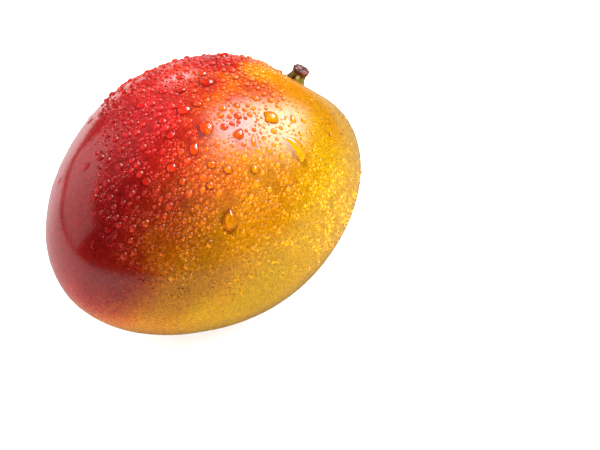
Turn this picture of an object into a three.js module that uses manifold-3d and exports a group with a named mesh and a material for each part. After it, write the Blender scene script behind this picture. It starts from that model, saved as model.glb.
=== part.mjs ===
// A ripe mango with its cut stalk stub, beaded with drops of water, lying on its flank.
//
// Millimetres, +Z up. +X points to the stalk end. The origin is the middle of the flat spot
// that the fruit rests on, and the fruit's centre is straight above it.

import * as THREE from 'three';
import { mergeVertices } from 'three/addons/utils/BufferGeometryUtils.js';
import Module from 'manifold-3d';

const wasm = await Module();
wasm.setup();

// Driving dimensions of the fruit: half sizes before its swellings are added
const HALF_LENGTH = 63;
const HALF_WIDTH = 48.6;
const HALF_HEIGHT = 42.8;
const WIDTH_TAPER = 0.06; // the stalk end is wider than the middle by this share
const HEIGHT_TAPER = 0.04;
const CENTRE_HEIGHT = 41.9; // the fruit's centre above its flat spot

// What makes it a mango and not an egg: each swelling (or hollow, below zero) of the skin
// has a place in degrees, a spread in degrees and a height
const SWELLINGS = [
  { name: 'stalk hollow', lon: -4, lat: 26, spread: 15, height: -4.2 },
  { name: 'front shoulder', lon: -29, lat: 10, spread: 25, height: 1.2 },
  { name: 'full back', lon: 94, lat: 38, spread: 32, height: 1.0 },
  { name: 'far tip', lon: 174, lat: -14, spread: 28, height: 1.2 },
  { name: 'front flank', lon: -108, lat: -32, spread: 32, height: 1.2 },
];

// The stub that is left where the stalk was cut
const STALK = {
  lon: -6, lat: 29, // where it leaves the hollow
  azimuth: -30, elevation: 64, // which way it leans
  length: 5.1, root: 3.0,
  neckRadius: 2.65, footFlare: 1.6, footSpread: 1.3,
  rimSwell: 0.2, rimSpread: 0.9,
  cutSlant: 0.26, cutTurn: 54, // rise of the cut face for each millimetre across, and which way
  bend: 0.9, // how far the foot is drawn uphill of the neck
};
const TOUCH_GAP = 0.3; // between the stub's foot and the skin

// Drops of water: place in degrees, then width and length down the slope
const PLACED_DROPS = [
  [-135, 70, 5.0, 6.6], [-103, 63, 3.9, 4.9], [-64, 58, 5.6, 5.2], [28, 79, 5.6, 5.4],
  [176, 78, 4.6, 5.2], [71, 70, 3.4, 3.8], [-147, 59, 3.2, 4.8], [-128, 29, 5.0, 7.0],
  [-76, 43, 2.6, 9.6], [-141, 3, 4.6, 4.2], [157, 33, 4.0, 4.6], [-178, 16, 1.8, 3.8],
  [-175, 22, 2.9, 3.0], [-113, 69, 2.9, 3.0], [-68, 74, 2.7, 2.8], [-96, 57, 2.0, 4.2],
  [-55, 49, 2.4, 3.8], [-90, 50, 2.2, 3.0], [-45, 66, 3.0, 3.2], [-91, 78, 3.0, 3.0],
  [-124, 49, 2.8, 3.0], [-107, 46, 2.6, 2.8], [-134, 52, 2.8, 3.0], [-151, 44, 2.6, 2.8],
  [-136, 43, 2.5, 2.6], [100, 79, 3.4, 3.2], [110, 71, 3.2, 3.0], [131, 62, 3.4, 3.6],
  [169, 67, 2.7, 2.8], [-171, 63, 2.6, 3.4], [-164, 84, 3.2, 3.0], [98, 44, 3.0, 3.0],
  [60, 59, 3.2, 3.0], [40, 72, 3.2, 3.0], [-159, 49, 3.2, 3.4], [-169, 41, 2.9, 3.0],
];
// The other side carries drops that fell at random, most of them on its upper half
const SCATTERED_DROPS = {
  count: 26, seed: 7, smallest: 2.4, largest: 4.6, spacing: 7.5,
  fromLon: 12, toLon: 150, // the longitudes they fall on
  lowest: -25, highest: 66, // above the highest the placed drops already cover the fruit
};
const DROP_SWELL = 0.38; // a drop's half thickness for its width
const DROP_SINK = 0.12; // how far its middle lies under the skin for its width
const CLEAR_OF_STALK = 9;

const SKIN_DETAIL = 14; // splits of each edge of the icosahedron that the skin starts from
const DROP_DETAIL = 1;
const STALK_SIDES = 16;
const STALK_STEPS = 12;
const SLOPE_STEP = 0.001; // radians between the two places that the skin's slope is read from

const radians = THREE.MathUtils.degToRad;

function direction(lon, lat) {
  const flat = Math.cos(radians(lat));
  return new THREE.Vector3(
    flat * Math.cos(radians(lon)),
    flat * Math.sin(radians(lon)),
    Math.sin(radians(lat)),
  );
}

// Distance from the fruit's centre to its skin along a unit direction
function skinRadius(way) {
  const width = HALF_WIDTH * (1 + WIDTH_TAPER * way.x);
  const height = HALF_HEIGHT * (1 + HEIGHT_TAPER * way.x);
  let radius = 1 / Math.hypot(way.x / HALF_LENGTH, way.y / width, way.z / height);
  for (const swelling of SWELLINGS) {
    const away = way.angleTo(direction(swelling.lon, swelling.lat));
    radius += swelling.height * Math.exp(-((away / radians(swelling.spread)) ** 2));
  }
  return radius;
}

function skinPoint(way, proud = 0) {
  const point = way.clone().multiplyScalar(skinRadius(way) + proud);
  point.z += CENTRE_HEIGHT;
  return point;
}

// The skin's own directions at a place: outwards, down the slope, and across it
function skinFrame(way) {
  const east = new THREE.Vector3(-way.y, way.x, 0).normalize();
  const north = new THREE.Vector3().crossVectors(way, east);
  const slopes = [east, north].map((side) => {
    const ahead = way.clone().addScaledVector(side, SLOPE_STEP).normalize();
    const behind = way.clone().addScaledVector(side, -SLOPE_STEP).normalize();
    return skinPoint(ahead).sub(skinPoint(behind));
  });
  const outward = new THREE.Vector3().crossVectors(slopes[0], slopes[1]).normalize();
  const downhill = new THREE.Vector3(0, 0, -1).projectOnPlane(outward).normalize();
  const across = new THREE.Vector3().crossVectors(downhill, outward);
  return { across, downhill, outward };
}

// Closed geometry to solid and back
function toSolid(geometry) {
  const bare = geometry.clone();
  bare.deleteAttribute('normal');
  bare.deleteAttribute('uv');
  const merged = mergeVertices(bare);
  return new wasm.Manifold(new wasm.Mesh({
    numProp: 3,
    vertProperties: new Float32Array(merged.attributes.position.array),
    triVerts: new Uint32Array(merged.index.array),
  }));
}

function toGeometry(solid) {
  const mesh = solid.getMesh();
  const geometry = new THREE.BufferGeometry();
  geometry.setAttribute('position', new THREE.BufferAttribute(mesh.vertProperties, mesh.numProp));
  geometry.setIndex(new THREE.BufferAttribute(mesh.triVerts, 1));
  geometry.computeVertexNormals();
  return geometry;
}

function moveVertices(geometry, move) {
  const position = geometry.attributes.position;
  const point = new THREE.Vector3();
  for (let i = 0; i < position.count; i++) {
    point.fromBufferAttribute(position, i);
    move(point);
    position.setXYZ(i, point.x, point.y, point.z);
  }
}

// The skin, pressed flat where it rests
function skinSolid(proud = 0) {
  const geometry = new THREE.IcosahedronGeometry(1, SKIN_DETAIL);
  moveVertices(geometry, (point) => {
    point.copy(skinPoint(point.clone().normalize(), proud));
    point.z = Math.max(point.z, 0);
  });
  return toSolid(geometry);
}

// One drop: a low dome with its root well under the skin
function dropSolid({ way, width, length }) {
  const { across, downhill, outward } = skinFrame(way);
  const middle = skinPoint(way).addScaledVector(outward, -DROP_SINK * width);
  const place = new THREE.Matrix4().makeBasis(across, downhill, outward).setPosition(middle);
  const geometry = new THREE.IcosahedronGeometry(1, DROP_DETAIL);
  geometry.scale(width / 2, length / 2, DROP_SWELL * width);
  geometry.applyMatrix4(place);
  return toSolid(geometry);
}

let seed = SCATTERED_DROPS.seed;
function random() {
  seed = (seed * 1664525 + 1013904223) % 4294967296;
  return seed / 4294967296;
}

// Where every drop lies; a drop that would touch another or the stalk falls somewhere else
function allDrops() {
  const drops = PLACED_DROPS.map(([lon, lat, width, length]) => (
    { way: direction(lon, lat), width, length }
  ));
  const stalkFoot = skinPoint(direction(STALK.lon, STALK.lat));
  const rule = SCATTERED_DROPS;
  const wanted = drops.length + rule.count;
  while (drops.length < wanted) {
    const lon = rule.fromLon + (rule.toLon - rule.fromLon) * random();
    const lat = rule.lowest + (rule.highest - rule.lowest) * Math.sqrt(random());
    const width = rule.smallest + (rule.largest - rule.smallest) * random() ** 2;
    const length = width * (1 + 0.3 * random());
    const way = direction(lon, lat);
    const point = skinPoint(way);
    const crowded = drops.some((other) => skinPoint(other.way).distanceTo(point) < rule.spacing);
    if (!crowded && point.distanceTo(stalkFoot) > CLEAR_OF_STALK) {
      drops.push({ way, width, length });
    }
  }
  return drops;
}

// The fruit: flesh, stone and skin grown as one body, with its drops fused to it
function fruit() {
  const solid = allDrops().reduce((body, drop) => body.add(dropSolid(drop)), skinSolid());
  const material = new THREE.MeshStandardMaterial({
    name: 'mango_skin', color: '#d2571c', roughness: 0.35, metalness: 0,
  });
  return new THREE.Mesh(toGeometry(solid), material);
}

// The stub's radius at a height above the skin: a flared foot, a neck, a swollen rim
function stalkRadius(height) {
  const foot = STALK.footFlare * Math.exp(-Math.max(height, 0) / STALK.footSpread);
  const rim = STALK.rimSwell * Math.exp(-(((STALK.length - height) / STALK.rimSpread) ** 2));
  return STALK.neckRadius + foot + rim;
}

// The stub: a turned profile, drawn uphill at its foot, with a slanting cut
function stalkStub() {
  const { length, root } = STALK;
  const profile = [new THREE.Vector2(0, -root)];
  for (let step = 0; step <= STALK_STEPS; step++) {
    const height = -root + (length + root) * (step / STALK_STEPS);
    profile.push(new THREE.Vector2(stalkRadius(height), height));
  }
  const rimRadius = stalkRadius(length);
  profile.push(new THREE.Vector2(rimRadius - 0.35, length + 0.2));
  profile.push(new THREE.Vector2(rimRadius * 0.5, length + 0.05));
  profile.push(new THREE.Vector2(0, length));
  const geometry = new THREE.LatheGeometry(profile, STALK_SIDES);
  geometry.rotateX(Math.PI / 2); // the lathe's axis is Y; the stub's own axis is Z

  const axis = direction(STALK.azimuth, STALK.elevation);
  const side = new THREE.Vector3(-axis.y, axis.x, 0).normalize();
  const lean = new THREE.Vector3().crossVectors(side, axis);
  const foot = skinPoint(direction(STALK.lon, STALK.lat));
  const cutWay = new THREE.Vector2(1, 0).rotateAround(new THREE.Vector2(), radians(STALK.cutTurn));
  moveVertices(geometry, (point) => {
    const share = THREE.MathUtils.clamp(point.z / length, 0, 1);
    point.z += STALK.cutSlant * share ** 2 * cutWay.dot(point);
    point.x -= STALK.bend * (1 - share) ** 2;
  });
  geometry.applyMatrix4(new THREE.Matrix4().makeBasis(lean, side, axis).setPosition(foot));
  const solid = toSolid(geometry).subtract(skinSolid(TOUCH_GAP));
  const material = new THREE.MeshStandardMaterial({
    name: 'stalk_bark', color: '#5c4a22', roughness: 0.85, metalness: 0,
  });
  return new THREE.Mesh(toGeometry(solid), material);
}

const mango = new THREE.Group();
const pieces = { fruit: fruit(), stem_stub: stalkStub() };
for (const [name, mesh] of Object.entries(pieces)) {
  mesh.name = name;
  mango.add(mesh);
}

export default mango;
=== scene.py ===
# %% [markdown]
# # A wet mango
#
# The fruit is one grown thing: a soft egg with a shoulder, a hollow where the stalk sits, and
# a blush of red over yellow. On it lie a few large drops of water and thousands of small
# beads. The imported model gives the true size, so this lesson starts from it and never moves
# it. The form of the skin and the places of the large drops repeat the model's own values.
# Two small things are shaped afresh here: one curved drop and the stub of the stalk.

# %% Load the frame
import math
import random

import bmesh
import bpy
from mathutils import Matrix, Vector, noise


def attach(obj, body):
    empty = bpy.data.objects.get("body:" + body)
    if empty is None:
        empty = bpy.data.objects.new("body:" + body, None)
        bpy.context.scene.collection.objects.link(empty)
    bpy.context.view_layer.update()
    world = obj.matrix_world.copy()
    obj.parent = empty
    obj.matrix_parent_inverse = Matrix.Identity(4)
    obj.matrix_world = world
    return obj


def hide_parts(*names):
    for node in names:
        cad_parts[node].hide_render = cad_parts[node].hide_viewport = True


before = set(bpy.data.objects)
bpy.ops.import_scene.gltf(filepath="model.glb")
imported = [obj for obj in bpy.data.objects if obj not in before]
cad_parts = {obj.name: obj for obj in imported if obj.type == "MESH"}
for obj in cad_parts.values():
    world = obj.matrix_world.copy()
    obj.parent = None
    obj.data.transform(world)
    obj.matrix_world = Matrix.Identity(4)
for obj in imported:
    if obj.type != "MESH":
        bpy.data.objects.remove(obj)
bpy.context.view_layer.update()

# %% [markdown]
# ## Sizes that everything shares
#
# The skin is a formula: for any direction from the middle of the fruit it gives a distance.
# The CAD model uses the same one. A formula is a better carrier for drops than a finished
# mesh, because a drop can ask it for the exact place and slope under its own middle.

# %% The form of the skin, in millimetres and degrees
MM = 0.001
HALF_LENGTH, HALF_WIDTH, HALF_HEIGHT = 63, 48.6, 42.8
WIDTH_TAPER, HEIGHT_TAPER = 0.06, 0.04
CENTRE = Vector((0, 0, 41.9))
SWELLINGS = [  # longitude, latitude, spread, height
    (-4, 26, 15, -4.2),    # the hollow round the stalk
    (-29, 10, 25, 1.2),    # front shoulder
    (94, 38, 32, 1.0),     # full back
    (174, -14, 28, 1.2),   # far tip
    (-108, -32, 32, 1.2),  # front flank
]


def direction(lon, lat):
    lon, lat = math.radians(lon), math.radians(lat)
    return Vector((math.cos(lat) * math.cos(lon), math.cos(lat) * math.sin(lon), math.sin(lat)))


SWELLING_WAYS = [(direction(lon, lat), math.radians(spread), height)
                 for lon, lat, spread, height in SWELLINGS]


def skin_radius(way):
    width = HALF_WIDTH * (1 + WIDTH_TAPER * way.x)
    height = HALF_HEIGHT * (1 + HEIGHT_TAPER * way.x)
    radius = 1 / math.hypot(way.x / HALF_LENGTH, way.y / width, way.z / height)
    for middle, spread, rise in SWELLING_WAYS:
        away = math.acos(max(-1, min(1, way.dot(middle))))
        radius += rise * math.exp(-(away / spread) ** 2)
    return radius


def skin_point(way):
    return CENTRE + way * skin_radius(way)


# %% Which way is out, down the slope and across it
SLOPE_STEP = 0.001


def skin_frame(way):
    east = Vector((-way.y, way.x, 0)).normalized()
    slopes = []
    for side in (east, way.cross(east)):
        ahead = skin_point((way + side * SLOPE_STEP).normalized())
        behind = skin_point((way - side * SLOPE_STEP).normalized())
        slopes.append(ahead - behind)
    outward = slopes[0].cross(slopes[1]).normalized()
    down = Vector((0, 0, -1))
    downhill = (down - outward * down.dot(outward)).normalized()
    return downhill.cross(outward), downhill, outward


print("Skin at the stalk:", [round(value, 1) for value in skin_point(direction(-6, 29))])

# %% [markdown]
# ## The camera
#
# It looks down on the fruit from the front left with a long lens, so the far end hardly
# shrinks. The fruit stands left of the middle and a little above it. Shifting the lens would
# do that too, but turning the camera keeps the fruit in the middle of every other view.

# %% Camera
IMAGE = Vector((600, 450))
FRUIT_IN_IMAGE = Vector((202.9, 193.2))  # where the fruit's centre falls, in pixels
LENS, SENSOR = 100, 36
CAMERA_AZIMUTH, CAMERA_ELEVATION = math.radians(-50), math.radians(40)
CAMERA_DISTANCE = 0.592  # metres from the fruit's centre
CLIP_START, CLIP_END = 0.01, 50

camera_data = bpy.data.cameras.new("camera")
camera_data.lens, camera_data.sensor_width = LENS, SENSOR
camera_data.clip_start, camera_data.clip_end = CLIP_START, CLIP_END
camera = bpy.data.objects.new("camera", camera_data)
bpy.context.scene.collection.objects.link(camera)
bpy.context.scene.camera = camera
back = Vector((math.sin(CAMERA_AZIMUTH) * math.cos(CAMERA_ELEVATION),
               -math.cos(CAMERA_AZIMUTH) * math.cos(CAMERA_ELEVATION),
               math.sin(CAMERA_ELEVATION)))
pixels_per_unit = IMAGE.x * LENS / SENSOR
turn = math.atan((FRUIT_IN_IMAGE.x - IMAGE.x / 2) / pixels_per_unit)
tip = math.atan((FRUIT_IN_IMAGE.y - IMAGE.y / 2) / pixels_per_unit)
camera.matrix_world = (
    Matrix.Translation(CENTRE * MM + back * CAMERA_DISTANCE)
    @ back.to_track_quat("Z", "Y").to_matrix().to_4x4()
    @ Matrix.Rotation(turn, 4, "Y") @ Matrix.Rotation(tip, 4, "X")
)
print("Camera turned by", round(math.degrees(turn), 2), "and tipped by", round(math.degrees(tip), 2))

# %% [markdown]
# ## Helpers for meshes
#
# Every piece is made in a bmesh and finished in the same way: millimetres become metres,
# faces point outwards and are smooth, and the piece rides on the fruit's one body.


# %% Finish a piece
def finish_piece(name, shape, material, values=None):
    bmesh.ops.scale(shape, vec=(MM, MM, MM), verts=shape.verts)
    for face in shape.faces:
        face.smooth = True
    mesh = bpy.data.meshes.new(name)
    shape.to_mesh(mesh)
    shape.free()
    mesh.materials.append(material)
    for value_name, numbers in (values or {}).items():
        mesh.attributes.new(value_name, "FLOAT", "POINT").data.foreach_set("value", numbers)
    piece = bpy.data.objects.new(name, mesh)
    bpy.context.scene.collection.objects.link(piece)
    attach(piece, "root")
    triangles = sum(len(polygon.vertices) - 2 for polygon in mesh.polygons)
    print(name, "has", triangles, "triangles")
    return piece


# %% [markdown]
# ## Helpers for materials
#
# A material is a tree of nodes. This small helper makes one node, sets its plain values and
# joins whatever socket is handed to it, so that each material reads from top to bottom.


# %% Make a node
def add_node(tree, kind, inputs=None, **settings):
    made = tree.nodes.new(kind)
    for name, value in settings.items():
        setattr(made, name, value)
    for name, value in (inputs or {}).items():
        if isinstance(value, bpy.types.NodeSocket):
            tree.links.new(value, made.inputs[name])
        else:
            made.inputs[name].default_value = value
    return made


def math_node(tree, operation, first, second=0.0, clamp=False):
    return add_node(tree, "ShaderNodeMath", {0: first, 1: second},
                    operation=operation, use_clamp=clamp).outputs[0]


def mix_colours(tree, share, first, second, blend="MIX"):
    made = add_node(tree, "ShaderNodeMix", data_type="RGBA", blend_type=blend)
    for index, value in ((0, share), (6, first), (7, second)):
        if isinstance(value, bpy.types.NodeSocket):
            tree.links.new(value, made.inputs[index])
        else:
            made.inputs[index].default_value = value
    return made.outputs[2]


def step_up(tree, value, low, high):
    return add_node(tree, "ShaderNodeMapRange", {"Value": value, "From Min": low, "From Max": high},
                    interpolation_type="SMOOTHSTEP").outputs[0]


def new_material(name):
    material = bpy.data.materials.new(name)
    material.use_nodes = True
    tree = material.node_tree
    return material, tree, tree.nodes["Principled BSDF"]


# %% [markdown]
# ## Effects that more than one material uses
#
# Skin and bark are both speckled and both slightly uneven. Each effect is a node group with
# named sockets, built once. The first one puts soft speckles on a colour: real skin has
# paler lenticels, tiny pores ringed with cork. The second one gives the height of fine
# unevenness, for a bump.


# %% Speckle and unevenness groups
def new_group(name, inputs, outputs):
    group = bpy.data.node_groups.new(name, "ShaderNodeTree")
    for direction_name, sockets in (("INPUT", inputs), ("OUTPUT", outputs)):
        for socket_name, kind, *value in sockets:
            socket = group.interface.new_socket(socket_name, in_out=direction_name, socket_type=kind)
            if value:
                socket.default_value = value[0]
    return group, add_node(group, "NodeGroupInput").outputs, add_node(group, "NodeGroupOutput")


VECTOR, NUMBER, COLOUR = "NodeSocketVector", "NodeSocketFloat", "NodeSocketColor"
SPECKLE_SHARPNESS = 12.0
speckle_group, given, result = new_group(
    "speckles",
    [("Vector", VECTOR), ("Colour", COLOUR), ("Speckle Colour", COLOUR), ("Scale", NUMBER, 500.0),
     ("Size", NUMBER, 0.25), ("Amount", NUMBER, 0.5)],
    [("Colour", COLOUR), ("Mask", NUMBER)],
)
cells = add_node(speckle_group, "ShaderNodeTexVoronoi",
                 {"Vector": given["Vector"], "Scale": given["Scale"], "Randomness": 1.0})
own_size = add_node(speckle_group, "ShaderNodeSeparateColor", {"Color": cells.outputs["Color"]})
reach = math_node(speckle_group, "MULTIPLY", given["Size"], own_size.outputs[0])
inside = math_node(speckle_group, "SUBTRACT", reach, cells.outputs["Distance"])
speckle_mask = math_node(speckle_group, "MULTIPLY", inside, SPECKLE_SHARPNESS, clamp=True)
speckle_mask = math_node(speckle_group, "MULTIPLY", speckle_mask, given["Amount"])
speckle_group.links.new(
    mix_colours(speckle_group, speckle_mask, given["Colour"], given["Speckle Colour"]),
    result.inputs["Colour"])
speckle_group.links.new(speckle_mask, result.inputs["Mask"])

uneven_group, given, result = new_group(
    "unevenness",
    [("Vector", VECTOR), ("Scale", NUMBER, 300.0), ("Detail", NUMBER, 3.0)],
    [("Height", NUMBER)],
)
ripple = add_node(uneven_group, "ShaderNodeTexNoise",
                  {"Vector": given["Vector"], "Scale": given["Scale"], "Detail": given["Detail"]})
uneven_group.links.new(ripple.outputs["Fac"], result.inputs["Height"])


def place_group(tree, group, **inputs):
    made = add_node(tree, "ShaderNodeGroup", node_tree=group)
    for name, value in inputs.items():
        socket = made.inputs[name.replace("_", " ")]
        if isinstance(value, bpy.types.NodeSocket):
            tree.links.new(value, socket)
        else:
            socket.default_value = value
    return made.outputs


print("Groups:", [group.name for group in bpy.data.node_groups])

# %% [markdown]
# ## The skin's colour
#
# A mango turns red where the sun reached it and stays yellow in the shade of its leaves. So
# its colour follows one direction across the whole fruit, soft patches placed one by one
# shift it, and a noise makes the border ragged. That scalar goes through a colour ramp, and
# a few patches of painted shade and painted light darken or lighten the result. The other
# ways, painting an image or colouring vertices, would fix the pattern to one mesh. Skin seen
# through water is made brighter: painted light that stands for the light a drop gathers.

# %% Skin material
SHADE_WAY = (0.503, -0.515, -0.694)  # towards the yellow side
BLUSH_REACH = 0.100  # metres over which the ramp runs
BLUSH_AT_CENTRE = 0.5
BLUSH_NOISES = ((45.0, 2.0, 0.16), (700.0, 3.0, 0.12))  # scale, detail and swing
LEAF_SHADES = [  # middle, reach in degrees, how much yellower (redder below 0) it is there
    ((0.60, 0.30, 0.76), 26, -0.16),
    ((0.58, -0.03, 0.82), 11, 0.11),
    ((0.52, -0.20, 0.83), 20, -0.075),
    ((0.33, -0.30, 0.89), 15, -0.055),
    ((0.14, -0.20, 0.97), 7, -0.05),
    ((0.18, 0.06, 0.98), 9, -0.04),
    ((-0.03, -0.45, 0.89), 14, -0.09),
    ((0.64, -0.42, 0.64), 13, -0.03),
    ((0.70, -0.65, 0.38), 18, -0.12),
    ((-0.95, -0.28, -0.05), 22, -0.06),
    ((-0.86, -0.50, -0.06), 17, 0.08),
    ((-0.90, -0.30, 0.33), 10, 0.01),
]
# Patches of painted shade (below 1) and painted light (above 1) on the skin.
SHADE_AND_LIGHT = [  # middle, cosines where the tint starts and is full, and what it does to the colour
    ((-0.868, -0.375, 0.325), (0.84, 0.965), (0.60, 0.62, 0.60, 1)),
    ((-0.75, 0.02, 0.66), (0.965, 0.998), (0.85, 0.82, 0.82, 1)),
    ((-0.70, -0.46, 0.55), (0.95, 0.995), (1.08, 1.09, 1.04, 1)),
    ((-0.36, 0.20, 0.91), (0.960, 0.995), (1.22, 1.18, 1.18, 1)),
    ((0.36, -0.74, 0.57), (0.90, 0.985), (1.17, 1.22, 1, 1)),
    ((-0.48, -0.87, 0.02), (0.94, 0.99), (0.88, 0.93, 1, 1)),
]
MOTTLE = (0.70, 0.62, 0.55, 1), (1.18, 1.21, 1.24, 1)  # the skin's fine grain
MOTTLE_SCALE, MOTTLE_STEP = 1300.0, (0.3, 0.7)
PORES_SHOW = (0.10, 0.26)  # the blush over which the pale pores come out
PORE_COLOUR, PORE_SCALE, PORE_SIZE, PORE_AMOUNT = (0.85, 0.42, 0.08, 1), 800.0, 0.34, 0.30
# Painted light: how much brighter the skin seen through water is, low down and high up.
WATER_GATHERS = (2.7, 2.7, 2.7, 1), (2.0, 2.0, 2.0, 1)  # skin under water, low and high up
DROP_SHADE = (0.42, 0.30, 0.28, 1)  # the skin beside a drop, which keeps light from it
LOW_SIDE = (-0.1, 0.2)  # how high on the fruit, from low to high up
SKIN_SPECULAR = 0.5  # and none under water, where the drop has the gloss; the export drops that
PORES_FINE, SWELLS_FINE, SWELLS_SHARE = 900.0, 120.0, 0.3
SKIN_BUMP, SKIN_BUMP_DEPTH = 0.4, 0.0001
SMOOTHEST, ROUGHER_BY = 0.10, 0.12
BLUSH_COLOURS = [
    (0.00, (0.23, 0.005, 0.006, 1)),
    (0.05, (0.28, 0.006, 0.007, 1)),
    (0.10, (0.35, 0.008, 0.008, 1)),
    (0.14, (0.45, 0.012, 0.008, 1)),
    (0.20, (0.53, 0.030, 0.006, 1)),
    (0.26, (0.69, 0.117, 0.004, 1)),
    (0.32, (0.83, 0.207, 0.003, 1)),
    (0.38, (0.86, 0.300, 0.002, 1)),
    (0.50, (0.80, 0.300, 0.002, 1)),
    (0.62, (0.84, 0.430, 0.003, 1)),
]

skin, tree, shader = new_material("mango_skin")
place = add_node(tree, "ShaderNodeTexCoord").outputs["Object"]
from_centre = add_node(tree, "ShaderNodeVectorMath", {0: place, 1: tuple(-CENTRE * MM)},
                       operation="ADD").outputs[0]
along = add_node(tree, "ShaderNodeVectorMath", {0: from_centre, 1: SHADE_WAY},
                 operation="DOT_PRODUCT").outputs["Value"]
blush = math_node(tree, "MULTIPLY_ADD", along, 1 / BLUSH_REACH)
blush.node.inputs[2].default_value = BLUSH_AT_CENTRE
outward_way = add_node(tree, "ShaderNodeVectorMath", {0: from_centre}, operation="NORMALIZE").outputs[0]
for middle, reach, shift in LEAF_SHADES:
    near = add_node(tree, "ShaderNodeVectorMath", {0: outward_way, 1: Vector(middle).normalized()},
                    operation="DOT_PRODUCT").outputs["Value"]
    near = step_up(tree, near, math.cos(math.radians(reach)), 1.0)
    blush = math_node(tree, "ADD", blush, math_node(tree, "MULTIPLY", near, shift))
for scale, detail, swing in BLUSH_NOISES:
    texture = add_node(tree, "ShaderNodeTexNoise", {"Vector": place, "Scale": scale, "Detail": detail})
    centred = math_node(tree, "SUBTRACT", texture.outputs["Fac"], 0.5)
    blush = math_node(tree, "ADD", blush, math_node(tree, "MULTIPLY", centred, swing))
ramp = add_node(tree, "ShaderNodeValToRGB", {"Fac": blush})
ramp.color_ramp.elements.remove(ramp.color_ramp.elements[0])
ramp.color_ramp.elements[0].position = BLUSH_COLOURS[0][0]
ramp.color_ramp.elements[0].color = BLUSH_COLOURS[0][1]
for position, colour in BLUSH_COLOURS[1:]:
    ramp.color_ramp.elements.new(position).color = colour
coloured = ramp.outputs["Color"]
# Multiply in the patches of painted shade and painted light.
for middle, reach, tint in SHADE_AND_LIGHT:
    near = add_node(tree, "ShaderNodeVectorMath", {0: outward_way, 1: Vector(middle).normalized()},
                    operation="DOT_PRODUCT").outputs["Value"]
    painted_patch = mix_colours(tree, step_up(tree, near, *reach), (1, 1, 1, 1), tint)
    coloured = mix_colours(tree, 1.0, coloured, painted_patch, blend="MULTIPLY")
mottle = add_node(tree, "ShaderNodeTexNoise", {"Vector": place, "Scale": MOTTLE_SCALE, "Detail": 3.0})
mottled = mix_colours(tree, step_up(tree, mottle.outputs["Fac"], *MOTTLE_STEP), *MOTTLE)
coloured = mix_colours(tree, 1.0, coloured, mottled, blend="MULTIPLY")
beside = add_node(tree, "ShaderNodeAttribute", attribute_name="drop_shade").outputs["Fac"]
shaded = mix_colours(tree, beside, (1, 1, 1, 1), DROP_SHADE)
pale = math_node(tree, "MULTIPLY", step_up(tree, blush, *PORES_SHOW), PORE_AMOUNT)
speckled = place_group(tree, speckle_group, Vector=place, Colour=coloured,
                       Speckle_Colour=PORE_COLOUR, Scale=PORE_SCALE, Size=PORE_SIZE, Amount=pale)
# Painted light: skin seen through water is made brighter, more so low down.
through_water = add_node(tree, "ShaderNodeLightPath").outputs["Is Transmission Ray"]
depth = add_node(tree, "ShaderNodeSeparateXYZ", {"Vector": outward_way}).outputs["Z"]
gathered = mix_colours(tree, step_up(tree, depth, *LOW_SIDE), *WATER_GATHERS)
lit = mix_colours(tree, through_water, shaded, gathered)
lit = mix_colours(tree, 1.0, speckled["Colour"], lit, blend="MULTIPLY")
tree.links.new(lit, shader.inputs["Base Color"])
specular = math_node(tree, "MULTIPLY_ADD", through_water, -SKIN_SPECULAR)
specular.node.inputs[2].default_value = SKIN_SPECULAR
tree.links.new(specular, shader.inputs["Specular IOR Level"])

pores = place_group(tree, uneven_group, Vector=place, Scale=PORES_FINE, Detail=3.0)["Height"]
swells = place_group(tree, uneven_group, Vector=place, Scale=SWELLS_FINE, Detail=1.0)["Height"]
height = math_node(tree, "ADD", pores, math_node(tree, "MULTIPLY", swells, SWELLS_SHARE))
bump = add_node(tree, "ShaderNodeBump",
                {"Height": height, "Strength": SKIN_BUMP, "Distance": SKIN_BUMP_DEPTH})
tree.links.new(bump.outputs["Normal"], shader.inputs["Normal"])
gloss = math_node(tree, "MULTIPLY_ADD", pores, ROUGHER_BY)
gloss.node.inputs[2].default_value = SMOOTHEST
tree.links.new(gloss, shader.inputs["Roughness"])
print("Skin ramp has", len(ramp.color_ramp.elements), "colours")

# %% [markdown]
# ## Where the large drops stand
#
# The large drops stand where the CAD has them: some listed one by one, the rest strewn by the
# same seeded rule. Number 8, the curved one, is wider and longer here than in the CAD, and stands
# 2 degrees further round. The places are needed first, because the skin is shaded beside each
# drop.

# %% Large drops: places
PLACED_DROPS = [  # longitude, latitude, width and length down the slope
    (-135, 70, 5.0, 6.6), (-103, 63, 3.9, 4.9), (-64, 58, 5.6, 5.2), (28, 79, 5.6, 5.4),
    (176, 78, 4.6, 5.2), (71, 70, 3.4, 3.8), (-147, 59, 3.2, 4.8), (-128, 29, 5.0, 7.0),
    (-74, 43, 4.6, 12.0), (-141, 3, 4.6, 4.2), (157, 33, 4.0, 4.6), (-178, 16, 1.8, 3.8),
    (-175, 22, 2.9, 3.0), (-113, 69, 2.9, 3.0), (-68, 74, 2.7, 2.8), (-96, 57, 2.0, 4.2),
    (-55, 49, 2.4, 3.8), (-90, 50, 2.2, 3.0), (-45, 66, 3.0, 3.2), (-91, 78, 3.0, 3.0),
    (-124, 49, 2.8, 3.0), (-107, 46, 2.6, 2.8), (-134, 52, 2.8, 3.0), (-151, 44, 2.6, 2.8),
    (-136, 43, 2.5, 2.6), (100, 79, 3.4, 3.2), (110, 71, 3.2, 3.0), (131, 62, 3.4, 3.6),
    (169, 67, 2.7, 2.8), (-171, 63, 2.6, 3.4), (-164, 84, 3.2, 3.0), (98, 44, 3.0, 3.0),
    (60, 59, 3.2, 3.0), (40, 72, 3.2, 3.0), (-159, 49, 3.2, 3.4), (-169, 41, 2.9, 3.0),
]
SCATTERED = {"count": 26, "seed": 7, "smallest": 2.4, "largest": 4.6, "spacing": 7.5,
             "from_lon": 12, "to_lon": 150, "lowest": -25, "highest": 66}
CLEAR_OF_STALK, LONGER_BY = 9, 0.3  # millimetres, and a share of the width
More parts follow.
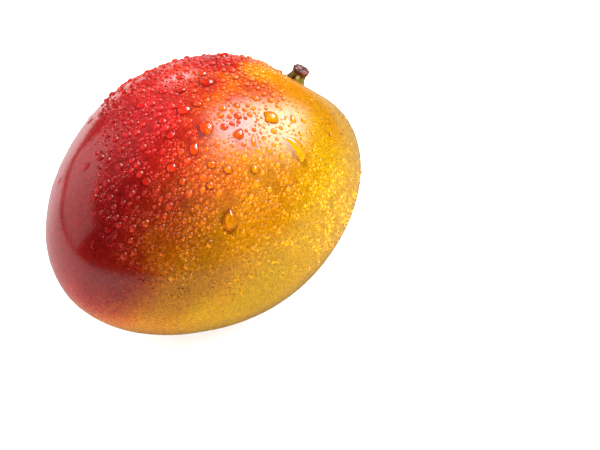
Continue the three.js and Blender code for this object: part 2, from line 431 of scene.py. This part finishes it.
STALK_LON, STALK_LAT = -6, 29
stalk_foot = skin_point(direction(STALK_LON, STALK_LAT))

scatter_state = SCATTERED["seed"]


def scatter_random():
    global scatter_state
    scatter_state = (scatter_state * 1664525 + 1013904223) % 4294967296
    return scatter_state / 4294967296


drops = [(direction(lon, lat), width, length) for lon, lat, width, length in PLACED_DROPS]
rule = SCATTERED
while len(drops) < len(PLACED_DROPS) + rule["count"]:
    lon = rule["from_lon"] + (rule["to_lon"] - rule["from_lon"]) * scatter_random()
    lat = rule["lowest"] + (rule["highest"] - rule["lowest"]) * math.sqrt(scatter_random())
    width = rule["smallest"] + (rule["largest"] - rule["smallest"]) * scatter_random() ** 2
    length = width * (1 + LONGER_BY * scatter_random())
    way = direction(lon, lat)
    point = skin_point(way)
    crowded = any((skin_point(other[0]) - point).length < rule["spacing"] for other in drops)
    if not crowded and (point - stalk_foot).length > CLEAR_OF_STALK:
        drops.append((way, width, length))
print("Large drops:", len(drops))

PANEL_WAY = direction(-15, 46)  # about where the shoulder panel and the sparkles stand


def share_between(value, low, high):
    return max(0, min(1, (value - low) / (high - low)))


FLANK_WAY, FLANK_REACH = Vector((-0.86, 0.42, 0.28)), (0.55, 0.85)  # drops lie flat there
FLAT_DROPS = {7: -0.7, 8: 0.5, 9: 1.2, 11: 1.0, 12: 1.0}  # by number; below 0 it is fuller
flatness = [FLAT_DROPS.get(number, share_between(way.dot(FLANK_WAY), *FLANK_REACH))
            for number, (way, _, _) in enumerate(drops)]


def away_from_panel(across, downhill):
    return Vector((-PANEL_WAY.dot(across), -PANEL_WAY.dot(downhill), 0))


# %% [markdown]
# ## The skin
#
# An icosphere has no poles, so its triangles stay even when it is pulled into the fruit's
# form. Each vertex goes to where the formula puts it, with a very shallow unevenness that a
# hand would feel more than an eye sees. Under the fruit it is pressed flat, where it rests.
# The triangles are smaller near the large drops, where the skin carries their shade.

# %% Skin mesh
UNEVEN_HEIGHT, UNEVEN_SIZE = 0.18, 14  # millimetres
UNEVEN_MIDDLE = 0.3  # what keeps the unevenness mostly below the true form
SHADE_SHIFT, SHADE_RIM, SHADE_END = 0.5, 0.75, 1.35  # in half widths of a drop
SIDE_SHADE, NEARBY = 1.5, 1.1  # how soon a side is dark, and how far round a drop, in lengths
FLAT_SHADE = 0.8  # how much less a flat drop shades the skin beside it
fruit_shape = bmesh.new()
bmesh.ops.create_icosphere(fruit_shape, subdivisions=7, radius=1)
frames = [(skin_point(way), *skin_frame(way)[:2], width, length, min(1, 1 - FLAT_SHADE * flat))
          for (way, width, length), flat in zip(drops, flatness)]


def beside_drops(point):
    """The drops near a point: its place in each one's half widths, the dark side, how dark."""
    for middle, across, downhill, width, length, strength in frames:
        offset = point - middle
        if offset.length < length * NEARBY:
            yield (Vector((offset.dot(across) * 2 / width, offset.dot(downhill) * 2 / length, 0)),
                   away_from_panel(across, downhill), strength)


near = {vertex for vertex in fruit_shape.verts
        if any(beside_drops(skin_point(vertex.co.normalized())))}
bmesh.ops.subdivide_edges(fruit_shape, cuts=1, use_grid_fill=True,
                          edges=[edge for edge in fruit_shape.edges if near.issuperset(edge.verts)])
bmesh.ops.triangulate(fruit_shape, faces=[face for face in fruit_shape.faces if len(face.verts) > 3])
drop_shade = []
for vertex in fruit_shape.verts:
    way = vertex.co.normalized()
    point = skin_point(way)
    shade = 0
    for spot, away, strength in beside_drops(point):
        shade = max(shade, share_between((spot - away * SHADE_SHIFT).length, SHADE_END, SHADE_RIM)
                    * min(1, away.length * SIDE_SHADE) * strength)
    drop_shade.append(shade)
    vertex.co = point + way * UNEVEN_HEIGHT * (noise.noise(point / UNEVEN_SIZE) - UNEVEN_MIDDLE)
    vertex.co.z = max(vertex.co.z, 0)
fruit = finish_piece("mango_skin", fruit_shape, skin, {"drop_shade": drop_shade})
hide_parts("fruit")

# %% [markdown]
# ## The stalk stub
#
# What is left of the stalk is a short woody neck that flares where it grew from the fruit.
# It is turned: half its outline is spun round an axis, which is how a lathe would make it.
# Then lengthwise ridges and a slanting cut take away the turned look.

# %% Stalk sizes, in millimetres and degrees
STALK_AZIMUTH, STALK_ELEVATION = -30, 64
STALK_LENGTH, STALK_ROOT = 5.3, 3.0
NECK_RADIUS, FOOT_FLARE, FOOT_SPREAD = 2.65, 1.6, 1.3
RIM_SWELL, RIM_SPREAD = 0.5, 1.0
CUT_SLANT, CUT_TURN, BEND = 0.08, 54, 0.5  # slant, bend, length and rim differ from the CAD
STALK_SIDES, STALK_STEPS = 96, 48
RIDGES, RIDGE_HEIGHT, RIDGE_TWIST = 9, 0.10, 0.8
LIT_SIDE = -60  # the lit side: painted highlight, paler collar, and green that is partly painted light
CUT_REACH, CUT_ROUGH, CUT_HOLLOW = 0.8, 0.16, 0.10


def stalk_radius(height):
    foot = FOOT_FLARE * math.exp(-max(height, 0) / FOOT_SPREAD)
    return NECK_RADIUS + foot + RIM_SWELL * math.exp(-((STALK_LENGTH - height) / RIM_SPREAD) ** 2)


# %% Bark material
BARK_DARK, BARK_PALE = (0.022, 0.012, 0.004, 1), (0.12, 0.085, 0.014, 1)
LIT_GREEN, PAINTED_HIGHLIGHT, BARK_DOTS = (0.36, 0.34, 0.04, 1), (0.72, 0.62, 0.30, 1), (0.02, 0.01, 0.005, 1)
COLLAR_SHADED, COLLAR_LIT = (0.07, 0.02, 0.007, 1), (0.30, 0.075, 0.022, 1)
CUT_DARK, CUT_PALE = (0.055, 0.014, 0.013, 1), (0.42, 0.20, 0.20, 1)
bark, tree, shader = new_material("stalk_bark")
place = add_node(tree, "ShaderNodeTexCoord").outputs["Object"]
cut_face = add_node(tree, "ShaderNodeAttribute", attribute_name="cut_face").outputs["Fac"]
rise = add_node(tree, "ShaderNodeAttribute", attribute_name="rise").outputs["Fac"]
around = add_node(tree, "ShaderNodeAttribute", attribute_name="around").outputs["Fac"]
grain = add_node(tree, "ShaderNodeTexNoise", {"Vector": place, "Scale": 900.0, "Detail": 4.0})
wood = add_node(tree, "ShaderNodeTexNoise", {"Vector": place, "Scale": 420.0, "Detail": 2.0})
bark_colour = mix_colours(tree, step_up(tree, wood.outputs["Fac"], 0.35, 0.65),
                          BARK_DARK, BARK_PALE)
# The neck is green low on the lit side: partly its own colour, partly painted light.
lit_green = math_node(tree, "MULTIPLY",
                  step_up(tree, rise, 0.75, 0.45), step_up(tree, around, 0.55, 0.88))
bark_colour = mix_colours(tree, lit_green, bark_colour, LIT_GREEN)
# A painted highlight: a pale streak on the lit side of the neck.
highlight_mask = step_up(tree, around, 0.60, 0.70)
for value, low, high in ((around, 0.86, 0.78), (rise, 0.78, 0.66), (rise, 0.36, 0.50)):
    highlight_mask = math_node(tree, "MULTIPLY", highlight_mask, step_up(tree, value, low, high))
bark_colour = mix_colours(tree, highlight_mask, bark_colour, PAINTED_HIGHLIGHT)
# The collar is paler towards the lit side: painted light and painted shade.
collar = mix_colours(tree, step_up(tree, around, 0.6, 1.0), COLLAR_SHADED, COLLAR_LIT)
bark_colour = mix_colours(tree, step_up(tree, rise, 0.72, 0.88), bark_colour, collar)
face_colour = mix_colours(tree, step_up(tree, grain.outputs["Fac"], 0.42, 0.62), CUT_DARK, CUT_PALE)
both = mix_colours(tree, cut_face, bark_colour, face_colour)
dotted = place_group(tree, speckle_group, Vector=place, Colour=both,
                     Speckle_Colour=BARK_DOTS, Scale=1500.0, Size=0.4, Amount=0.6)
tree.links.new(dotted["Colour"], shader.inputs["Base Color"])
rough_grain = place_group(tree, uneven_group, Vector=place, Scale=1300.0, Detail=4.0)["Height"]
bump = add_node(tree, "ShaderNodeBump", {"Height": rough_grain, "Strength": 0.8, "Distance": 0.0003})
tree.links.new(bump.outputs["Normal"], shader.inputs["Normal"])
shader.inputs["Roughness"].default_value = 0.5
shader.inputs["Specular IOR Level"].default_value = 0.25

# %% Stalk mesh
stalk_shape = bmesh.new()
outline = [(0, -STALK_ROOT)]
for step in range(STALK_STEPS + 1):
    height = -STALK_ROOT + (STALK_LENGTH + STALK_ROOT) * step / STALK_STEPS
    outline.append((stalk_radius(height), height))
rim = stalk_radius(STALK_LENGTH)
outline += [(rim - 0.12, STALK_LENGTH + 0.16), (rim - 0.35, STALK_LENGTH + 0.2),
            (rim * 0.75, STALK_LENGTH + 0.06), (rim * 0.5, STALK_LENGTH + 0.05),
            (rim * 0.25, STALK_LENGTH + 0.02), (0, STALK_LENGTH)]
dots = [stalk_shape.verts.new((radius, 0, height)) for radius, height in outline]
edges = [stalk_shape.edges.new(pair) for pair in zip(dots, dots[1:])]
bmesh.ops.spin(stalk_shape, geom=dots + edges, axis=(0, 0, 1), cent=(0, 0, 0),
               angle=math.tau, steps=STALK_SIDES, use_merge=True)
bmesh.ops.remove_doubles(stalk_shape, verts=stalk_shape.verts, dist=0.001)
bmesh.ops.recalc_face_normals(stalk_shape, faces=stalk_shape.faces)

cut_layer = stalk_shape.verts.layers.float.new("cut_face")
rise_layer = stalk_shape.verts.layers.float.new("rise")
around_layer = stalk_shape.verts.layers.float.new("around")
axis = direction(STALK_AZIMUTH, STALK_ELEVATION)
side = Vector((-axis.y, axis.x, 0)).normalized()
lean = side.cross(axis)
cut_way = Vector((math.cos(math.radians(CUT_TURN)), math.sin(math.radians(CUT_TURN)), 0))
for vertex in stalk_shape.verts:
    x, y, z = vertex.co
    share = max(0, min(1, z / STALK_LENGTH))
    angle, radius = math.atan2(y, x), math.hypot(x, y)
    vertex[rise_layer] = z / STALK_LENGTH
    vertex[around_layer] = 0.5 + 0.5 * math.cos(angle - math.radians(LIT_SIDE))
    on_cut = z > STALK_LENGTH - 0.01 and radius < rim * CUT_REACH
    vertex[cut_layer] = 1.0 if on_cut else 0.0
    ridge = RIDGE_HEIGHT * (math.sin(RIDGES * angle + RIDGE_TWIST * z) + 1.5 * noise.noise(vertex.co * 0.9))
    if radius > 0.5 and not on_cut:
        x, y = x * (1 + ridge / radius), y * (1 + ridge / radius)
    if on_cut:
        z += CUT_ROUGH * noise.noise(Vector((x, y, 3)) * 1.6) - CUT_HOLLOW * (1 - radius / rim)
    z += CUT_SLANT * share ** 2 * cut_way.dot(Vector((x, y, 0)))
    x -= BEND * (1 - share) ** 2
    vertex.co = stalk_foot + lean * x + side * y + axis * z
stub = finish_piece("stalk_stub", stalk_shape, bark)
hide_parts("stem_stub")

# %% [markdown]
# ## Water
#
# Real water is clear and takes its colour from the skin beneath it, bent and gathered by the
# drop. Each drop is a closed lens whose root lies a little under the skin. Two materials with
# water's index of refraction serve the drops and the beads. Both carry painted shade: every
# vertex stores how near the rim it is and which side of the shoulder panel it is on, and the
# material paints the rim and the side that faces the panel darker. That suits this light alone.

# %% Water material
WATER_EDGE_SHADE = (0.14, 0.07, 0.055, 1)  # painted shade: what is left of light at a drop's edge
RIM, SHADED = (0.70, 0.93), (-0.45, 0.25)
WATER_IOR = 1.33


def water_material(name, roughness, gleam, towards, beyond):
    """Water with painted shade: one colour towards the panel, one beyond the middle, one for its glints."""
    material, tree, shader = new_material(name)
    rim = add_node(tree, "ShaderNodeAttribute", attribute_name="rim").outputs["Fac"]
    away = add_node(tree, "ShaderNodeAttribute", attribute_name="away").outputs["Fac"]
    inside = mix_colours(tree, step_up(tree, away, *SHADED), towards, beyond)
    tree.links.new(mix_colours(tree, step_up(tree, rim, *RIM), inside, WATER_EDGE_SHADE),
                   shader.inputs["Base Color"])
    shader.inputs["Roughness"].default_value = roughness
    shader.inputs["IOR"].default_value = WATER_IOR
    shader.inputs["Specular Tint"].default_value = gleam
    shader.inputs["Transmission Weight"].default_value = 1.0
    return material


# Towards the panel each drop and bead has painted shade; beyond its middle the drops have less and the
# beads none.
drop_water = water_material("drop_water", roughness=0.2, gleam=(1, 1, 1, 1),
                            towards=(0.54, 0.50, 0.46, 1), beyond=(0.92, 0.92, 0.86, 1))
bead_water = water_material("bead_water", roughness=0.28, gleam=(1, 0.66, 0.50, 1),
                            towards=(0.62, 0.56, 0.54, 1), beyond=(1, 1, 1, 1))


# %% [markdown]
# The dome of each large drop is a squashed sphere. Gravity pulls a real drop out of round, so
# each may narrow a little towards its uphill end, and some are given a taper, a bow to one
# side, a turn or pulled-out corners of their own.

# %% Large drops: shapes
# number of the drop: (turn in degrees, taper of the uphill end, bow to one side, corners)
# and each corner is (its direction in degrees from across towards downhill, pull, sharpness)
SHARP, BLUNT = 0.28, 0.5
DROP_SHAPES = {
    0: (0, -0.12, 0, [(-53, 0.10, BLUNT)]), 1: (-60, 0.25, 0, [(-90, 0.12, SHARP)]),
    2: (0, 0, 0, [(-92, 0.30, 0.34), (-12, 0.28, 0.40), (92, 0.14, BLUNT)]),
    3: (0, 0, 0, [(0, 0.12, BLUNT), (180, 0.18, SHARP)]), 4: (0, 0.1, 0, [(150, 0.2, SHARP)]),
    6: (0, 0.1, 0, [(-123, 0.28, SHARP), (82, 0.12, BLUNT)]),
    7: (-12, 0.3, 0, [(-90, 0.12, SHARP)]), 8: (0, 0.5, 0.25, []), 10: (0, 0.3, 0, []),
    15: (-37, 0.1, 0, [(90, 0.2, SHARP), (-90, 0.3, SHARP)]),
    16: (-58, 0.3, 0, []), 18: (0, 0, 0, [(-66, 0.35, SHARP)]), 19: (0, 0, 0, [(5, 0.40, SHARP)]),
}


def pull_of(angle, corners):
    pull = 1
    for middle, amount, spread in corners:
        off = math.remainder(angle - math.radians(middle), math.tau)
        pull += amount * math.exp(-(off / spread) ** 2)
    return pull


DROP_SWELL, DROP_SINK = 0.34, 0.11
DROP_TAPER, RAGGED, SAG, WOBBLE = 0.25, 0.12, 0.25, 9
FLAT_SWELL, FLAT_RIM, NARROW_RIM = 0.6, 0.22, 0.25  # what flatness and narrowness take away
drop_random = random.Random(11)
drops_shape = bmesh.new()
rims, aways = [], []
for number, (way, width, length) in enumerate(drops):
    turned, taper, bow, corners = DROP_SHAPES.get(number, (0, drop_random.uniform(0, DROP_TAPER), 0, []))
    across, downhill, outward = skin_frame(way)
    middle = skin_point(way)
    away = away_from_panel(across, downhill)
    flat = flatness[number]
    swell = DROP_SWELL * (1 - FLAT_SWELL * flat)
    edge = 1 - NARROW_RIM * max(0, 1 - width / length) - FLAT_RIM * flat
    made = bmesh.ops.create_icosphere(drops_shape, subdivisions=4, radius=1)
    turned = math.radians(turned)
    wobble = Vector((drop_random.uniform(-WOBBLE, WOBBLE), drop_random.uniform(-WOBBLE, WOBBLE), 0))
    for vertex in made["verts"]:
        x, y, z = vertex.co
        rims.append(math.hypot(x, y) * edge)
        aways.append(away.dot(vertex.co))
        pull = 1 + (pull_of(math.atan2(y, x), corners) - 1) * math.hypot(x, y) ** 3
        x, y = x * pull, y * pull
        ragged = 1 + RAGGED * noise.noise(Vector((x, y, 0)) * 1.1 + wobble)
        half_width = (1 + taper * y) * ragged
        x = x * half_width * width / 2 + bow * length * (y * y - 0.5)
        y = y * ragged * length / 2
        z = (z * swell * (1 + SAG * vertex.co.y * (1 - abs(outward.z))) - DROP_SINK) * width
        x, y = (x * math.cos(turned) - y * math.sin(turned),
                x * math.sin(turned) + y * math.cos(turned))
        spot = (middle + across * x + downhill * y - CENTRE).normalized()
        vertex.co = skin_point(spot) + outward * z
finish_piece("large_drops", drops_shape, drop_water,
             {"rim": rims, "away": aways}).visible_shadow = False

# %% [markdown]
# The spray came from above and in front, so it wet a round cap of the skin: everywhere whose
# direction lies within a fixed angle of the spray. A little reached the crown, and less stayed
# on the yellow side and on a few dry patches. Beads are placed from the widest to the finest,
# each clear of all that lie already, because two that touch become one. A large drop counts
# as five balls in a row there, without its bow, turn and corners, so six beads still cut into
# three of the large drops. A bead that finds no wet and free place in its tries is left out,
# and about half are. A bead has few faces, as there are thousands: 84, 40 or 24 by its size.

# %% Beads: places
SPRAY_WAY = Vector((-0.054, -0.543, 0.838)).normalized()
CROWN_WAY = Vector((0.1, 0.4, 0.9)).normalized()  # the top, which the spray also reached
WET_EDGE, WET_FULL = 0.34, 0.44  # cosine of the angle to the spray
CROWN_EDGE, CROWN_FULL, CROWN_WET = 0.78, 0.86, 0.7
BEAD_SIZES = [  # how many are tried, smallest and largest width, gap to the next
    (130, 1.9, 2.8, 0.5), (560, 1.25, 1.9, 0.4), (1500, 0.85, 1.25, 0.3), (1350, 0.6, 0.85, 0.3),
    (3200, 0.3, 0.6, 0.2),
]
CLUMP_SIZE, CLUMP_MIDDLE, CLUMP_SWING = 4.0, 0.45, 1.7  # the size in millimetres
BEAD_TRIES = 60
COARSE, FINE, MIST = 1.25, 0.85, 0.6  # millimetres
COARSE_WAY, COARSE_REACH, COARSE_LEAST = Vector((-0.25, 0.25, 0.93)).normalized(), (0.3, 0.9), 0.25
MIDDLING_REACH = (0.40, 0.75)
YELLOW_WAY, YELLOW_REACH, YELLOW_DRIES = Vector(SHADE_WAY).normalized(), (-0.1, 0.2), 0.85
PATCH_DRIES = 0.9
DRY_WAYS = [  # by the stalk, under the glow, the yellow shoulder, low in front; with cosines
    (Vector((0.70, -0.34, 0.63)).normalized(), 0.90, 0.97),
    (Vector((0.27, -0.56, 0.78)).normalized(), 0.93, 1.00),
    (Vector((0.75, -0.5, 0.43)).normalized(), 0.82, 0.94),
    (Vector((-0.45, -0.85, 0.0)).normalized(), 0.78, 0.90),
]
CELL = 3.0  # millimetres, the side of a box in the list of neighbours

bead_random = random.Random(5)
neighbours = {}


def cell_of(point):
    return tuple(math.floor(value / CELL) for value in point)


def remember(point, radius):
    neighbours.setdefault(cell_of(point), []).append((point, radius))


def is_free(point, radius, gap):
    home = cell_of(point)
    for step in range(27):
        cell = (home[0] + step % 3 - 1, home[1] + step // 3 % 3 - 1, home[2] + step // 9 - 1)
        for other, other_radius in neighbours.get(cell, ()):
            if (other - point).length < radius + other_radius + gap:
                return False
    return True


for way, width, length in drops:
    middle, (across, downhill, outward) = skin_point(way), skin_frame(way)
    for part in (-1, -0.5, 0, 0.5, 1):
        remember(middle + downhill * part * (length - width) / 2, width / 2)
for part in range(12):
    remember(stalk_foot + direction(30 * part, 0) * 3, 2)


def any_way():
    height, turn = bead_random.uniform(-0.3, 1), bead_random.uniform(0, math.tau)
    flat = math.sqrt(1 - height ** 2)
    return Vector((flat * math.cos(turn), flat * math.sin(turn), height))


def wetness(way, width):
    sprayed = share_between(way.dot(SPRAY_WAY), WET_EDGE, WET_FULL)
    crown = share_between(way.dot(CROWN_WAY), CROWN_EDGE, CROWN_FULL)
    wet = max(sprayed, crown * CROWN_WET)
    wet *= 1 - YELLOW_DRIES * share_between(way.dot(YELLOW_WAY), *YELLOW_REACH)
    if width > COARSE:  # the coarse beads gathered on the crown and the red side
        wet *= COARSE_LEAST + (1 - COARSE_LEAST) * share_between(way.dot(COARSE_WAY), *COARSE_REACH)
    elif width > FINE:  # and the middling ones thinned out below
        wet *= share_between(way.dot(SPRAY_WAY), *MIDDLING_REACH)
    clump = CLUMP_MIDDLE + CLUMP_SWING * noise.noise(skin_point(way) / CLUMP_SIZE)
    for dry_way, start, full in DRY_WAYS:
        wet *= 1 - PATCH_DRIES * share_between(way.dot(dry_way), start, full)
    return wet * clump


beads = []
for count, smallest, largest, gap in BEAD_SIZES:
    for _ in range(count):
        width = bead_random.uniform(smallest, largest)
        for _ in range(BEAD_TRIES):
            way = any_way()
            if bead_random.random() > wetness(way, width):
                continue
            point = skin_point(way)
            if is_free(point, width / 2, gap):
                remember(point, width / 2)
                beads.append((way, point, width))
                break
print("Beads:", len(beads))

# %% Beads: meshes
BEADS_IN_BATCH = 150
BEAD_SWELL, BEAD_SINK, BEAD_STRETCH = 0.43, 0.07, 1.2
LOW_BEADS, LOW_FADES = (0.40, 0.1), 0.4  # beads whose dark edge fades, low on the flank


def bead_piece(name, chosen, sides, rings, outline=1.0):
    one = bmesh.new()
    bmesh.ops.create_uvsphere(one, u_segments=sides, v_segments=rings, radius=1)
    stamp = bpy.data.meshes.new("bead")
    one.to_mesh(stamp)
    one.free()
    dots = [vertex.co.copy() for vertex in stamp.vertices]
    rims, aways = [], []
    whole = bmesh.new()
    for start in range(0, len(chosen), BEADS_IN_BATCH):
        batch = bmesh.new()
        for way, point, width in chosen[start:start + BEADS_IN_BATCH]:
            across, downhill, outward = skin_frame(way)
            away = away_from_panel(across, downhill)
            aways += [away.dot(dot) for dot in dots]
            edge = outline * (1 - LOW_FADES * share_between(way.z, *LOW_BEADS))
            rims += [dot.xy.length * edge for dot in dots]
            middle = point - outward * BEAD_SINK * width
            turned = Matrix((across, downhill, outward)).transposed().to_4x4()
            size = Matrix.Diagonal((width / 2, width / 2 * bead_random.uniform(1, BEAD_STRETCH),
                                    BEAD_SWELL * width, 1))
            stamped = stamp.copy()
            stamped.transform(Matrix.Translation(middle) @ turned @ size)
            batch.from_mesh(stamped)
            bpy.data.meshes.remove(stamped)
        some = bpy.data.meshes.new("batch")
        batch.to_mesh(some)
        batch.free()
        whole.from_mesh(some)
        bpy.data.meshes.remove(some)
    bpy.data.meshes.remove(stamp)
    finish_piece(name, whole, bead_water,
                 {"rim": rims, "away": aways}).visible_shadow = False


bead_piece("coarse_beads", [bead for bead in beads if bead[2] >= COARSE], sides=12, rings=7)
bead_piece("fine_beads", [bead for bead in beads if MIST <= bead[2] < COARSE],
           sides=8, rings=5, outline=0.97)
bead_piece("mist_beads", [bead for bead in beads if bead[2] < MIST], sides=6, rings=4, outline=0.8)

# %% [markdown]
# ## Floor and light
#
# The fruit lies on a plain floor before a white backdrop, and both are white to the camera
# alone: the room is dark otherwise, and the floor has one grey for the skin's gloss and
# another as a light. A large soft panel above the stalk end makes the wide glow on the
# shoulder, and two strips draw the far side and the left side. The gloss alone sees them, and
# two more panels light the colours alone. The glints on drops and beads come from panels
# linked to each, and the floor has its own light and a fainter one for its shade.

# %% Floor
FLOOR_SIDE, FLOOR_DROP = 4.0, 0.0002
FLOOR_GREYS = (0.09, 0.44, 0.92)  # in the skin's gloss, as a light, and to the eye
# Painted light on the table, seen in the gloss alone: paler behind the fruit.
PALE_WAY, PALE_REACH = (-0.6, 0.8, 0), (-0.02, 0.16)  # where the table brightens, in metres
SHADOW_REACH = (0.03, 0.12)  # metres over which the fruit's own shade on the table ends
TABLE_EDGE = (0.38, 0.48)  # metres behind the fruit where the pale table ends
PALE_GREY, SHADOW_GREY, BEYOND_GREY = ((grey, grey, grey, 1) for grey in (0.26, 0.2, 0.01))
floor_material, tree, shader = new_material("floor")
paths = add_node(tree, "ShaderNodeLightPath").outputs
mirrored, lighting, seen = ((grey, grey, grey, 1) for grey in FLOOR_GREYS)
spot = add_node(tree, "ShaderNodeTexCoord").outputs["Object"]
reach = add_node(tree, "ShaderNodeSeparateXYZ", {"Vector": spot}).outputs["Y"]
apart = add_node(tree, "ShaderNodeVectorMath", {0: spot}, operation="LENGTH").outputs["Value"]
behind = add_node(tree, "ShaderNodeVectorMath", {0: spot, 1: PALE_WAY},
                  operation="DOT_PRODUCT").outputs["Value"]
mirrored = mix_colours(tree, step_up(tree, behind, *PALE_REACH), mirrored, PALE_GREY)
lighting = mix_colours(tree, step_up(tree, apart, *SHADOW_REACH), SHADOW_GREY, lighting)
mirrored = mix_colours(tree, step_up(tree, reach, *TABLE_EDGE), mirrored, BEYOND_GREY)
floor_colour = mix_colours(tree, paths["Is Glossy Ray"], lighting, mirrored)
floor_colour = mix_colours(tree, paths["Is Camera Ray"], floor_colour, seen)
tree.links.new(floor_colour, shader.inputs["Base Color"])
shader.inputs["Roughness"].default_value = 0.9
shader.inputs["Specular IOR Level"].default_value = 0.0
floor_shape = bmesh.new()
bmesh.ops.create_grid(floor_shape, x_segments=1, y_segments=1, size=FLOOR_SIDE)
bmesh.ops.translate(floor_shape, vec=(0, 0, -FLOOR_DROP), verts=floor_shape.verts)
floor_mesh = bpy.data.meshes.new("floor")
floor_shape.to_mesh(floor_mesh)
floor_shape.free()
floor_mesh.materials.append(floor_material)
floor = bpy.data.objects.new("floor", floor_mesh)
bpy.context.scene.collection.objects.link(floor)


# %% Soft panels
def fading(light, fades):
    """Let a panel fade towards its edges, over these shares of its width and height."""
    light.use_nodes = True
    tree = light.node_tree
    across = add_node(tree, "ShaderNodeSeparateXYZ", {
        "Vector": add_node(tree, "ShaderNodeNewGeometry").outputs["Parametric"]}).outputs
    strength = 1.0
    for part, fade in zip(across, fades):
        off = math_node(tree, "ABSOLUTE", math_node(tree, "SUBTRACT", part, 0.5))
        strength = math_node(tree, "MULTIPLY", step_up(tree, off, 0.5, 0.5 - fade), strength)
    tree.links.new(strength, tree.nodes["Emission"].inputs["Strength"])


def soft_panel(name, azimuth, elevation, width, height, brightness, works_by, roll=0.0,
               distance=1.0, only=(), blocked_by=(), fades=()):
    data = bpy.data.lights.new(name, "AREA")
    data.shape, data.size, data.size_y = "RECTANGLE", width * distance, height * distance
    data.energy = brightness * 4 * data.size * data.size_y
    panel = bpy.data.objects.new(name, data)
    away = direction(azimuth, elevation)
    panel.matrix_world = (Matrix.Translation(CENTRE * MM + away * distance)
                          @ away.to_track_quat("Z", "Y").to_matrix().to_4x4()
                          @ Matrix.Rotation(math.radians(roll), 4, "Z"))
    panel.visible_camera = False
    panel.visible_glossy = "gloss" in works_by
    panel.visible_diffuse = "light" in works_by
    panel.visible_transmission = "water" in works_by
    bpy.context.scene.collection.objects.link(panel)
    if fades:
        fading(data, fades)
    for use, members in (("receiver", only), ("blocker", blocked_by)):
        if members:
            linked = bpy.data.collections.new(name + "_" + use)
            for member in members:
                linked.objects.link(member)
            setattr(panel.light_linking, use + "_collection", linked)
    return panel


soft_panel("shoulder_panel", -11.0, 50.6, 1.16, 1.00, 11.0, "gloss", roll=66, fades=(0.32, 0.45))
soft_panel("far_strip", 50, 17, 0.24, 0.34, 5.0, "gloss", distance=1.2, fades=(0.4, 0.4))
soft_panel("left_strip", 110, 16, 1.20, 0.63, 0.78, "gloss", distance=1.2)
soft_panel("key_light", -64, 62, 1.2, 1.2, 1.94, "light")
soft_panel("far_light", 80, 30, 1.0, 1.0, 6.4, "light")
SPARKLES = [(drop_water, 0.70, 0.34, 26.0), (bead_water, 0.80, 0.50, 30.0)]
for water, width, height, brightness in SPARKLES:
    wet_pieces = [piece for piece in bpy.data.objects
                  if piece.type == "MESH" and water in list(piece.data.materials)]
    soft_panel(water.name + "_sparkle", -15, 47, width, height, brightness, "gloss", roll=-28.5,
               distance=0.98, only=wet_pieces)
soft_panel("floor_light", 0, 90, 1.6, 1.6, 4.8, "light", distance=1.5,
           only=[floor], blocked_by=[floor])
soft_panel("shadow_light", 0, 90, 1.6, 1.6, 0.4, "light", distance=1.5, only=[floor])

# %% World and view
DARK, WHITE = 0.02, 1.0
world = bpy.data.worlds.new("studio")
bpy.context.scene.world = world
world.use_nodes = True
tree = world.node_tree
looked_at = add_node(tree, "ShaderNodeLightPath").outputs["Is Camera Ray"]
backdrop = mix_colours(tree, looked_at, (DARK, DARK, DARK, 1), (WHITE, WHITE, WHITE, 1))
tree.links.new(backdrop, tree.nodes["Background"].inputs["Color"])
bpy.context.scene.view_settings.view_transform = "Standard"
